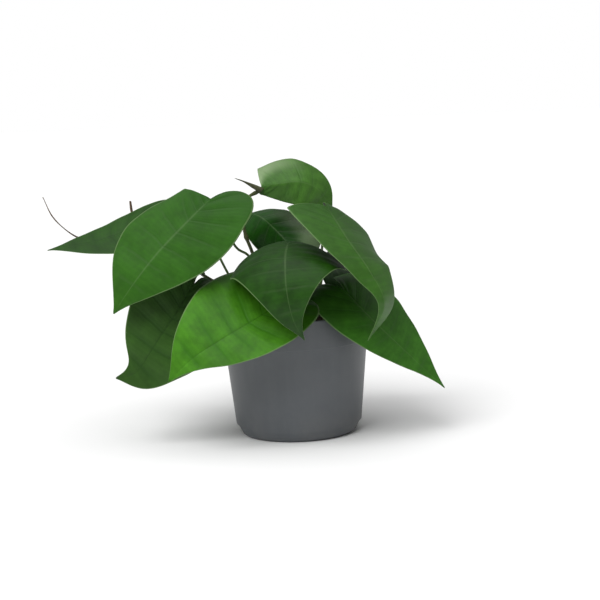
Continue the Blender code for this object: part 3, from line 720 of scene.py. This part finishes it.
def make_blade(name, leaf, look, seed):
    """A thin blade, swollen between its veins, with a rib below, a groove above and a rounded margin."""
    vein = np.linspace(0, 1, ROWS)
    out = np.linspace(0, 1, COLUMNS) ** CROWDING
    middle, normals = blade_grid(leaf, vein, out)
    length = midrib_curve(leaf)[1][-1]
    (left_x, left_y), (right_x, right_y) = (half_outline(leaf, side, vein, out) for side in (0, 1))
    x = halves_joined(left_x, right_x)
    y = halves_joined(-left_y, right_y)
    across = halves_joined(-out[None, :], out[None, :]) + 0 * x
    lift = halves_joined(relief(look, vein, out, seed), relief(look, vein, out, seed + SEED_OF_OTHER_HALF))

    near_rib = np.exp(-((y * length / RIB_WIDTH) ** 2)) * (1 - np.clip(x, 0, 1)) ** TIP_FADE
    thickness = HALF_THICKNESS * (1 - (1 - MARGIN_SHARE) * across**6)
    upper = middle + normals * (lift + thickness - GROOVE_DEPTH * near_rib)[..., None]
    lower = middle + normals * (lift - thickness - RIB_HEIGHT * near_rib)[..., None]
    edge, rim = blade_rim(upper, lower, middle, thickness)
    upper_faces, lower_faces = blade_faces(*x.shape, edge)

    mesh = bpy.data.meshes.new(f"blade_{name}")
    points = np.concatenate([upper.reshape(-1, 3), lower.reshape(-1, 3), rim])
    mesh.from_pydata(points.tolist(), [], np.concatenate([upper_faces, lower_faces]).tolist())
    band = band_place(vein)[:, None] / VEIN_BANDS + 0 * x
    veins = np.stack([0.5 + across / 2, band], axis=-1).reshape(-1, 2)
    flat = np.stack([y, x], axis=-1).reshape(-1, 2) * length * UV_SCALE + seed * 7
    for uv_name, values in (("veins", veins), ("flat", flat)):
        add_uv(mesh, uv_name, np.concatenate([values, values, values[edge]]))
    underside = np.repeat([0, 1], [len(upper_faces), len(lower_faces)]).astype(np.int32)
    mesh.polygons.foreach_set("material_index", underside)
    mesh.shade_smooth()
    face_outwards(mesh)
    materials = [blade_material(f"{name}_upper", look, False), blade_material(f"{name}_under", look, True)]
    new_piece(f"blade_{name}", mesh, materials, f"leaf_{name}")


def make_tube(name, route, radius_at, skins, slot, node):
    """A closed round stem along a smooth route. radius_at gives its radius at a fraction of its length."""
    fraction = np.linspace(0, 1, STEM_RINGS)
    centres = through(route, fraction)
    tangents = unit(np.gradient(centres, axis=0))
    side = unit(np.cross(tangents[0], FIRST_SIDE))
    turns = np.arange(STEM_SIDES) / STEM_SIDES
    points = []
    for centre, tangent, part in zip(centres, tangents, fraction):
        side = unit(side - tangent * side.dot(tangent))
        other = np.cross(tangent, side)
        radius = radius_at(part)
        for turn in turns * math.tau:
            points.append(centre + (side * math.cos(turn) + other * math.sin(turn)) * radius)
    ends = len(points)
    points += [centres[0], centres[-1]]
    last = (STEM_RINGS - 1) * STEM_SIDES
    faces = []
    for k in range(STEM_SIDES):
        after = (k + 1) % STEM_SIDES
        for low in range(0, last, STEM_SIDES):
            high = low + STEM_SIDES
            faces.append((low + k, low + after, high + after, high + k))
        faces.append((after, k, ends))
        faces.append((last + k, last + after, ends + 1))
    mesh = bpy.data.meshes.new(name)
    mesh.from_pydata([tuple(point) for point in points], [], faces)
    flat = np.stack([np.tile(turns, STEM_RINGS), np.repeat(fraction, STEM_SIDES) * UV_SCALE], axis=-1)
    add_uv(mesh, "flat", np.concatenate([flat, [[0, 0], [0, UV_SCALE]]]))
    mesh.shade_smooth()
    face_outwards(mesh)
    new_piece(name, mesh, [skins[slot]], node)


def ground(root):
    """A stem stands upright where it leaves the soil."""
    x, y = np.array(root) * MM
    return [(x, y, SOIL_TOP - SOIL_DEPTH), (x, y, SOIL_TOP + UPRIGHT_FOOT)]


def under_joint(leaf):
    """The last two points of a stem, where it bends into the blade from below."""
    curve, _, direction = midrib_curve(leaf)
    face = np.array(leaf.face[0])
    up = unit(face - face.dot(direction[0]) * direction[0])
    return [curve[0] - up * JOINT_REACH * 4, curve[0] - up * JOINT_REACH + direction[0] * JOINT_REACH]


def hump(part, place, width):
    return math.exp(-(((part - place) / width) ** 2))


def petiole_radius(part):
    """A leaf stalk: a sheathing foot, a slow taper, and a swelling just below the blade."""
    swelling = 0.25 * hump(part, 0.94, 0.05)
    sheath = 0.45 * hump(part, 0, 0.12)
    return STALK_RADIUS * (1 - 0.25 * part + swelling + sheath) * (0.75 if part > 0.985 else 1)


def vine_radius(part):
    nodes = sum(0.35 * hump(part, place, 0.018) for place in VINE_NODES)
    return VINE_RADIUS * (1 - 0.35 * part + nodes)


def root_radius(part):
    return AERIAL_ROOT_RADIUS * (1.25 - 0.7 * part + 0.12 * math.sin(31 * part))


def stub_radius(part):
    return OLD_VINE_RADIUS * (1.1 - 0.3 * part + 0.1 * math.sin(23 * part))


def spear_radius(part):
    """A rolled leaf's sheath, widest a third of the way up and drawn out to a point."""
    belly = 0.55 + 0.45 * math.sin(math.pi * min(1, part + 0.35))
    return SHEATH_RADIUS * (1.25 * (1 - part) ** 0.7 * belly + 0.06)


def make_stems():
    skins = {name: stem_material(name) for name in STEM_LOOKS}
    for name, leaf in LEAVES.items():
        if leaf.stalk:
            start = ground(leaf.root) if leaf.root else [VINE_FORK]
            route = np.array([*start, *(np.array(leaf.stalk) * MM), *under_joint(leaf)])
            make_tube(f"petiole_{name}", route, petiole_radius, skins, "stalk_green", f"stalk_{name}")
    for name, vine in VINES.items():
        route = np.array([*ground(vine.root), *(np.array(vine.points) * MM), *under_joint(LEAVES[name])])
        make_tube(f"stem_{name}", route, vine_radius, skins, "vine_green", f"vine_{name}")
    for name, points, leaf_name, radius_at, slot, node in (
        ("dry_root", AERIAL_ROOT, "rear_left", root_radius, "dry_brown", "aerial_root"),
        ("dry_vine_end", OLD_VINE_END, "rear_left", stub_radius, "dry_brown", "old_vine_end"),
        ("spear", SHEATH, "top", spear_radius, "sheath_olive", "leaf_sheath"),
    ):
        joint = np.array(LEAVES[leaf_name].midrib[0]) * MM
        route = np.array([joint - ROOTED_DEPTH, *(np.array(points) * MM)])
        make_tube(name, route, radius_at, skins, slot, node)


# ---- Pot and soil ----


def rounded(profile, radius, steps=4):
    """The profile with each inner corner replaced by a short curve."""
    points = [profile[0]]
    for before, corner, after in zip(profile, profile[1:], profile[2:]):
        before, corner, after = (np.array(point, float) for point in (before, corner, after))
        into = corner - before
        away = after - corner
        reach = min(radius, 0.4 * np.linalg.norm(into), 0.4 * np.linalg.norm(away))
        start = corner - unit(into) * reach
        end = corner + unit(away) * reach
        for part in np.linspace(0, 1, steps + 1):
            points.append(tuple((1 - part) ** 2 * start + 2 * part * (1 - part) * corner + part**2 * end))
    points.append(profile[-1])
    return points


def turned_mesh(name, profile, segments):
    """A mesh turned about Z from a profile of (radius, height) that starts and ends on the axis."""
    turns = np.arange(segments) * math.tau / segments
    points = [(0, 0, profile[0][1])]
    for radius, height in profile[1:-1]:
        points += [(radius * math.cos(turn), radius * math.sin(turn), height) for turn in turns]
    points.append((0, 0, profile[-1][1]))
    last = len(points) - 1
    rings = len(profile) - 2
    faces = []
    for k in range(segments):
        after = (k + 1) % segments
        faces.append((0, 1 + after, 1 + k))
        for ring in range(rings - 1):
            low = 1 + ring * segments
            high = low + segments
            faces.append((low + k, low + after, high + after, high + k))
        top = 1 + (rings - 1) * segments
        faces.append((top + k, top + after, last))
    mesh = bpy.data.meshes.new(name)
    mesh.from_pydata(points, [], faces)
    face_outwards(mesh)
    return mesh


def prism_mesh(name, low, high):
    """A closed mesh between two outlines with the same number of points."""
    count = len(low)
    faces = [tuple(range(count)), tuple(range(count, 2 * count))]
    faces += [(k, (k + 1) % count, (k + 1) % count + count, k + count) for k in range(count)]
    mesh = bpy.data.meshes.new(name)
    mesh.from_pydata([*low, *high], [], faces)
    face_outwards(mesh)
    return mesh


def notch_mesh(side):
    """A wedge across the skirt with rounded upper corners."""
    top = SKIRT_HEIGHT + GAP
    top_half = SKIRT_TOP_RADIUS * math.sin(NOTCH_TOP_ANGLE)
    bottom_half = SKIRT_BOTTOM_RADIUS * math.sin(NOTCH_BOTTOM_ANGLE)
    corners = ((0, NOTCH_BOTTOM), (bottom_half, NOTCH_BOTTOM), (top_half, top), (0, top))
    outline = rounded(corners, NOTCH_ROUNDING)[1:-1]
    outline += [(-y, z) for y, z in reversed(outline)]
    near = side * (GROOVE_RADIUS + NOTCH_CLEARANCE)
    far = side * (RIM_RADIUS + CUTTER_REACH)
    return prism_mesh("notch", [(near, y, z) for y, z in outline], [(far, y, z) for y, z in outline])


def drain_mesh(index):
    """A round bar through the floor of the pot, between the groove and the wall."""
    angle = math.tau * (index + 0.5) / DRAIN_COUNT
    middle = (DRAIN_CIRCLE_RADIUS * math.cos(angle), DRAIN_CIRCLE_RADIUS * math.sin(angle))
    turns = np.arange(DRAIN_SIDES) * math.tau / DRAIN_SIDES
    circle = [(middle[0] + DRAIN_RADIUS * math.cos(t), middle[1] + DRAIN_RADIUS * math.sin(t)) for t in turns]
    low = SKIRT_HEIGHT - CUTTER_REACH
    high = SKIRT_HEIGHT + WALL + CUTTER_REACH
    return prism_mesh("drain", [(x, y, low) for x, y in circle], [(x, y, high) for x, y in circle])


def make_pot():
    """The turned shell with the notches and drain holes cut out, as one mesh with no modifiers."""
    inner_rim = ((RIM_RADIUS - WALL, POT_HEIGHT),)
    profile = rounded(underside_profile() + wall_profile() + inner_rim + inside_profile(0), EDGE_ROUNDING)
    body = bpy.data.objects.new("pot_body", turned_mesh("pot_body", profile, POT_TURNS))
    bpy.context.scene.collection.objects.link(body)
    cutters = []
    for mesh in [notch_mesh(side) for side in (1, -1)] + [drain_mesh(k) for k in range(DRAIN_COUNT)]:
        cutter = bpy.data.objects.new("cutter", mesh)
        bpy.context.scene.collection.objects.link(cutter)
        boolean = body.modifiers.new("cut", "BOOLEAN")
        boolean.solver = "EXACT"
        boolean.object = cutter
        cutters.append(cutter)
    graph = bpy.context.evaluated_depsgraph_get()
    mesh = bpy.data.meshes.new_from_object(body.evaluated_get(graph))
    for obj in [body, *cutters]:
        bpy.data.objects.remove(obj)
    mesh.shade_smooth()
    mesh.set_sharp_from_angle(angle=SHARP_ANGLE)
    new_piece("nursery_pot", mesh, [pot_material()], "pot")


def make_crumb(build, place, size, chance):
    """One rough lump of peat, part sunk in the surface."""
    made = bmesh.ops.create_icosphere(build, subdivisions=2, radius=1)["verts"]
    angle = chance.uniform(0, math.tau)
    axis = Vector((chance.random(), chance.random(), 1)).normalized()
    turn = Matrix.Rotation(angle, 3, axis)
    stretch = Vector((chance.uniform(0.7, 1.3), chance.uniform(0.6, 1.1), chance.uniform(0.4, 0.8)))
    shift = Vector((chance.uniform(0, 50), chance.uniform(0, 50), 0))
    for vertex in made:
        rough = 1 + 0.35 * noise.noise(vertex.co * 1.7 + shift)
        vertex.co = place + turn @ (vertex.co * stretch) * rough * size


def soil_height(x, y):
    """The height of the uneven surface: low humps with a fine crumble over them."""
    low = noise.fractal(Vector((x, y, 0.3)) * 55, 0.8, 2.2, 4)
    fine = noise.fractal(Vector((x, y, 1.7)) * 260, 0.8, 2.1, 3)
    return SOIL_TOP - SOIL_SINK + low * SOIL_HUMPS + fine * SOIL_CRUMBLE


def make_soil():
    """The filling of the pot under an uneven surface with loose crumbs."""
    inner = inside_profile(GAP)
    edge = inner[0][0] + SOIL_EDGE
    surface = [(edge * part, SOIL_TOP) for part in np.linspace(0, 1, SOIL_RINGS)]
    mesh = turned_mesh("soil_surface", [*surface, *inner], SOIL_TURNS)
    for vertex in mesh.vertices[: 1 + (SOIL_RINGS - 1) * SOIL_TURNS]:
        vertex.co.z = soil_height(vertex.co.x, vertex.co.y)
    build = bmesh.new()
    build.from_mesh(mesh)
    chance = random.Random(CRUMB_SEED)
    for _ in range(CRUMB_COUNT):
        angle = chance.uniform(0, math.tau)
        radius = (edge - CRUMB_MARGIN) * math.sqrt(chance.random())
        size = chance.uniform(0.5, 1.0) ** 2 * CRUMB_SIZE
        x = radius * math.cos(angle)
        y = radius * math.sin(angle)
        make_crumb(build, Vector((x, y, soil_height(x, y))), size, chance)
    build.to_mesh(mesh)
    build.free()
    mesh.shade_smooth()
    new_piece("potting_soil", mesh, [soil_material()], "soil")


# ---- Stage ----


def make_floor():
    """A pale plain floor, just under the pot."""
    mesh = bpy.data.meshes.new("floor")
    corners = [(x, y, -FLOOR_DROP) for x, y in ((-1, -1), (1, -1), (1, 1), (-1, 1))]
    mesh.from_pydata([(x * FLOOR_REACH, y * FLOOR_REACH, z) for x, y, z in corners], [], [(0, 1, 2, 3)])
    n = Nodes("floor")
    shade = n.noise(n.place(), 3.0)
    colour = n.mix(shade, FLOOR_DARK, FLOOR_LIGHT)
    mesh.materials.append(n.finish(colour, 0.8, n.bump(shade, 0.1 * MM), specular=0.1))
    floor = bpy.data.objects.new("floor", mesh)
    bpy.context.scene.collection.objects.link(floor)


def make_sun(name, direction, softness, strength, reflected):
    """Even light from a wide soft source, shining along direction."""
    data = bpy.data.lights.new(name, "SUN")
    data.angle = math.radians(softness)
    data.energy = strength
    light = bpy.data.objects.new(name, data)
    light.rotation_euler = Vector(direction).to_track_quat("-Z", "Y").to_euler()
    light.visible_glossy = reflected
    bpy.context.scene.collection.objects.link(light)


def make_studio():
    """A white room to look at, dimmer in what it lights, and two wide soft lights."""
    world = bpy.data.worlds.new("studio")
    world.use_nodes = True
    tree = world.node_tree
    background = tree.nodes["Background"]
    background.inputs["Color"].default_value = (1, 1, 1, 1)
    path = tree.nodes.new("ShaderNodeLightPath")
    strength = tree.nodes.new("ShaderNodeMapRange")
    strength.inputs["To Min"].default_value = ROOM_LIGHT
    strength.inputs["To Max"].default_value = 1
    tree.links.new(path.outputs["Is Camera Ray"], strength.inputs["Value"])
    tree.links.new(strength.outputs["Result"], background.inputs["Strength"])
    bpy.context.scene.world = world
    bpy.context.scene.view_settings.view_transform = "Standard"
    make_sun("key", KEY_DIRECTION, KEY_SOFTNESS, KEY_STRENGTH, False)
    make_sun("overhead", TOP_DIRECTION, TOP_SOFTNESS, TOP_STRENGTH, True)


def make_camera():
    """A long lens a little above the rim, tilted slightly."""
    rise = math.sin(CAMERA_ELEVATION)
    level = math.cos(CAMERA_ELEVATION)
    back = Vector((0, -level, rise))
    right = Vector((1, 0, 0))
    up = Vector((0, rise, level))
    turned_right = math.cos(CAMERA_ROLL) * right + math.sin(CAMERA_ROLL) * up
    turned_up = -math.sin(CAMERA_ROLL) * right + math.cos(CAMERA_ROLL) * up
    place = AIM + back * CAMERA_DISTANCE
    data = bpy.data.cameras.new("camera")
    data.lens = CAMERA_LENS
    data.sensor_width = SENSOR_WIDTH
    camera = bpy.data.objects.new("camera", data)
    turn = Matrix((turned_right, turned_up, back)).transposed().to_4x4()
    camera.matrix_world = Matrix.Translation(place) @ turn
    bpy.context.scene.collection.objects.link(camera)
    bpy.context.scene.camera = camera


make_camera()
make_studio()
make_floor()
make_pot()
make_soil()
for index, leaf_name in enumerate(LEAVES):
    make_blade(leaf_name, LEAVES[leaf_name], LOOKS[leaf_name], SEED_START + SEED_STEP * index)
make_stems()
